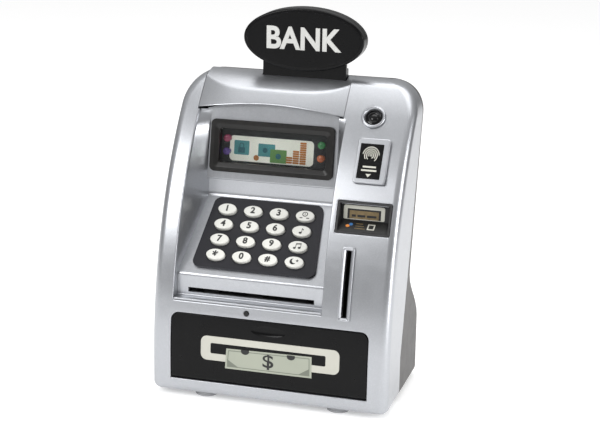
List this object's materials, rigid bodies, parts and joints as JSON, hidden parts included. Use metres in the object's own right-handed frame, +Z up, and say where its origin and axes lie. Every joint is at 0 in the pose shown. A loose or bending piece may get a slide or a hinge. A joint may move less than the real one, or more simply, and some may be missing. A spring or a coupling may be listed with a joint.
{
  "type": "toy cash machine savings bank",
  "caption": "Toy savings bank shaped like a cash machine: keypad bay, display, note and coin slots, card recess, oval sign and a locking money door.",
  "frame": {"origin": "centre of the footprint, at the height of the table under the feet", "axes": "+Z up, -Y out of the front with the keypad and door, +X to the right seen from the front"},
  "size_m": [0.154, 0.0946, 0.2412],
  "materials": {
    "silver_plastic": "satin silver-painted moulding",
    "grey_plastic": "fine satin, dark grey",
    "black_gloss": "gloss black",
    "black_satin": "satin black",
    "key_plastic": "satin off-white with printed legends",
    "clear_plastic": "clear window",
    "dark_lens": "smoked gloss",
    "printed_card": "printed card",
    "led_red_plastic": "tinted lamp",
    "led_violet_plastic": "tinted lamp",
    "led_green_plastic": "tinted lamp",
    "led_amber_plastic": "tinted lamp",
    "black_rubber": "matt",
    "grey_rubber": "matt",
    "roller_rubber": "matt tyres on a nylon shaft",
    "board": "solder resist",
    "steel": "bright",
    "white_nylon": "unpainted moulding"
  },
  "bodies": {
    "housing": {"front_shell": "silver_plastic", "bay_fascia": "silver_plastic", "display_hood": "silver_plastic", "camera_ring": "silver_plastic", "coin_slot_frame": "silver_plastic", "back_shell": "grey_plastic", "sign_front": "black_gloss", "sign_back": "black_gloss", "card_reader": "black_satin", "keypad_plate": "black_satin", "display_bezel": "black_satin", "display_window": "clear_plastic", "camera_lens": "dark_lens", "status_lamp": "dark_lens", "display_card": "printed_card", "led_red": "led_red_plastic", "led_violet": "led_violet_plastic", "led_green": "led_green_plastic", "led_amber": "led_amber_plastic", "key_mat": "black_rubber", "speaker": "black_rubber", "foot_front_left": "grey_rubber", "foot_front_right": "grey_rubber", "foot_rear_left": "grey_rubber", "foot_rear_right": "grey_rubber", "circuit_board": "board", "door_hinge_pin": "steel", "latch_solenoid": "steel", "feed_motor": "steel", "battery_1": "steel", "battery_2": "steel", "battery_3": "steel", "case_screw_left": "steel", "case_screw_right": "steel", "coin_chute": "white_nylon"},
    "key_1": {"key_1": "key_plastic"},
    "key_2": {"key_2": "key_plastic"},
    "key_3": {"key_3": "key_plastic"},
    "key_deposit": {"key_deposit": "key_plastic"},
    "key_4": {"key_4": "key_plastic"},
    "key_5": {"key_5": "key_plastic"},
    "key_6": {"key_6": "key_plastic"},
    "key_song": {"key_song": "key_plastic"},
    "key_7": {"key_7": "key_plastic"},
    "key_8": {"key_8": "key_plastic"},
    "key_9": {"key_9": "key_plastic"},
    "key_music": {"key_music": "key_plastic"},
    "key_star": {"key_star": "key_plastic"},
    "key_0": {"key_0": "key_plastic"},
    "key_hash": {"key_hash": "key_plastic"},
    "key_lullaby": {"key_lullaby": "key_plastic"},
    "touch_tile": {"touch_tile": "silver_plastic"},
    "money_door": {"money_door": "black_satin"},
    "door_latch": {"door_latch": "white_nylon"},
    "power_switch": {"power_switch": "black_satin"},
    "battery_cover": {"battery_cover": "grey_plastic", "cover_screw": "steel"},
    "feed_roller": {"feed_roller": "roller_rubber"},
    "pinch_roller": {"pinch_roller": "roller_rubber"},
    "motor_pinion": {"motor_pinion": "white_nylon"}
  },
  "joints": [
    {"name": "key_1_press", "type": "slide", "parent": "housing", "child": "key_1", "axis": [0, 0.7071, -0.7071], "range_m": [0, 0.0012], "stiffness_N_per_m": 450, "springref_m": -0.0006},
    {"name": "key_2_press", "type": "slide", "parent": "housing", "child": "key_2", "axis": [0, 0.7071, -0.7071], "range_m": [0, 0.0012], "stiffness_N_per_m": 450, "springref_m": -0.0006},
    {"name": "key_3_press", "type": "slide", "parent": "housing", "child": "key_3", "axis": [0, 0.7071, -0.7071], "range_m": [0, 0.0012], "stiffness_N_per_m": 450, "springref_m": -0.0006},
    {"name": "key_deposit_press", "type": "slide", "parent": "housing", "child": "key_deposit", "axis": [0, 0.7071, -0.7071], "range_m": [0, 0.0012], "stiffness_N_per_m": 450, "springref_m": -0.0006},
    {"name": "key_4_press", "type": "slide", "parent": "housing", "child": "key_4", "axis": [0, 0.7071, -0.7071], "range_m": [0, 0.0012], "stiffness_N_per_m": 450, "springref_m": -0.0006},
    {"name": "key_5_press", "type": "slide", "parent": "housing", "child": "key_5", "axis": [0, 0.7071, -0.7071], "range_m": [0, 0.0012], "stiffness_N_per_m": 450, "springref_m": -0.0006},
    {"name": "key_6_press", "type": "slide", "parent": "housing", "child": "key_6", "axis": [0, 0.7071, -0.7071], "range_m": [0, 0.0012], "stiffness_N_per_m": 450, "springref_m": -0.0006},
    {"name": "key_song_press", "type": "slide", "parent": "housing", "child": "key_song", "axis": [0, 0.7071, -0.7071], "range_m": [0, 0.0012], "stiffness_N_per_m": 450, "springref_m": -0.0006},
    {"name": "key_7_press", "type": "slide", "parent": "housing", "child": "key_7", "axis": [0, 0.7071, -0.7071], "range_m": [0, 0.0012], "stiffness_N_per_m": 450, "springref_m": -0.0006},
    {"name": "key_8_press", "type": "slide", "parent": "housing", "child": "key_8", "axis": [0, 0.7071, -0.7071], "range_m": [0, 0.0012], "stiffness_N_per_m": 450, "springref_m": -0.0006},
    {"name": "key_9_press", "type": "slide", "parent": "housing", "child": "key_9", "axis": [0, 0.7071, -0.7071], "range_m": [0, 0.0012], "stiffness_N_per_m": 450, "springref_m": -0.0006},
    {"name": "key_music_press", "type": "slide", "parent": "housing", "child": "key_music", "axis": [0, 0.7071, -0.7071], "range_m": [0, 0.0012], "stiffness_N_per_m": 450, "springref_m": -0.0006},
    {"name": "key_star_press", "type": "slide", "parent": "housing", "child": "key_star", "axis": [0, 0.7071, -0.7071], "range_m": [0, 0.0012], "stiffness_N_per_m": 450, "springref_m": -0.0006},
    {"name": "key_0_press", "type": "slide", "parent": "housing", "child": "key_0", "axis": [0, 0.7071, -0.7071], "range_m": [0, 0.0012], "stiffness_N_per_m": 450, "springref_m": -0.0006},
    {"name": "key_hash_press", "type": "slide", "parent": "housing", "child": "key_hash", "axis": [0, 0.7071, -0.7071], "range_m": [0, 0.0012], "stiffness_N_per_m": 450, "springref_m": -0.0006},
    {"name": "key_lullaby_press", "type": "slide", "parent": "housing", "child": "key_lullaby", "axis": [0, 0.7071, -0.7071], "range_m": [0, 0.0012], "stiffness_N_per_m": 450, "springref_m": -0.0006},
    {"name": "touch_tile_press", "type": "slide", "parent": "housing", "child": "touch_tile", "axis": [0, 0.8469, -0.5317], "range_m": [0, 0.0006], "stiffness_N_per_m": 900, "springref_m": -0.0005},
    {"name": "money_door_hinge", "type": "hinge", "parent": "housing", "child": "money_door", "pos_m": [0, -0.04505, 0.0146], "axis": [1, 0, 0], "range_deg": [0, 86]},
    {"name": "door_latch_slide", "type": "slide", "parent": "housing", "child": "door_latch", "axis": [0, 0, -1], "range_m": [0, 0.0045]},
    {"name": "power_switch_slide", "type": "slide", "parent": "housing", "child": "power_switch", "axis": [1, 0, 0], "range_m": [0, 0.004]},
    {"name": "battery_cover_slide", "type": "slide", "parent": "housing", "child": "battery_cover", "axis": [0, 1, 0], "range_m": [0, 0.02]},
    {"name": "feed_roller_spin", "type": "hinge", "parent": "housing", "child": "feed_roller", "pos_m": [0, -0.0213, 0.063], "axis": [1, 0, 0], "continuous": true},
    {"name": "pinch_roller_spin", "type": "hinge", "parent": "housing", "child": "pinch_roller", "pos_m": [0, -0.0213, 0.0734], "axis": [1, 0, 0], "continuous": true},
    {"name": "motor_pinion_spin", "type": "hinge", "parent": "housing", "child": "motor_pinion", "pos_m": [0, -0.0085, 0.063], "axis": [1, 0, 0], "continuous": true}
  ],
  "couplings": [
    {"joint": "motor_pinion_spin", "follows": "feed_roller_spin", "ratio": -1.6667},
    {"joint": "pinch_roller_spin", "follows": "feed_roller_spin", "ratio": -1.2222}
  ]
}
